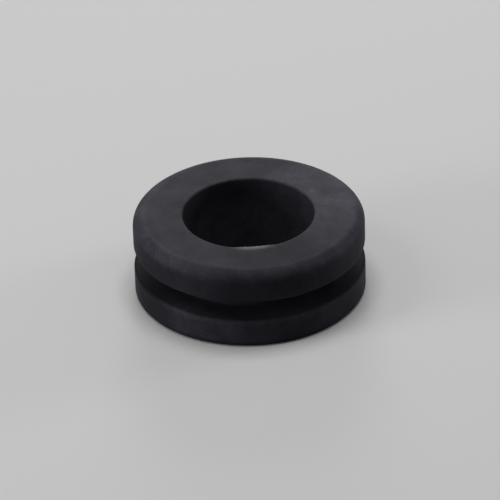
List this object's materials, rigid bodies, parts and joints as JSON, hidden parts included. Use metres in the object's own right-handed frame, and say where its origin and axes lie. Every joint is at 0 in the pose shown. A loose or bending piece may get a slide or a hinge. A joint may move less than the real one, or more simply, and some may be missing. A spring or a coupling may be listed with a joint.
{
  "type": "rubber damper",
  "caption": "Moulded rubber damping ring with a panel groove round its outside, a softly rounded shoulder on one end and a plain through bore for a sleeve, tube or stud.",
  "frame": {"origin": "centre of the bottom face, the end with the small broken edge, on the bore's axis", "axes": "+Z along the bore, from the bottom face towards the end with the soft shoulder; X and Y are free, because the ring is a body of revolution"},
  "size_m": [0.022, 0.022, 0.008],
  "materials": {
    "black_rubber": "matte moulded black rubber, slightly mottled by bloom"
  },
  "bodies": {
    "root": {"damper": "black_rubber"}
  },
  "joints": []
}
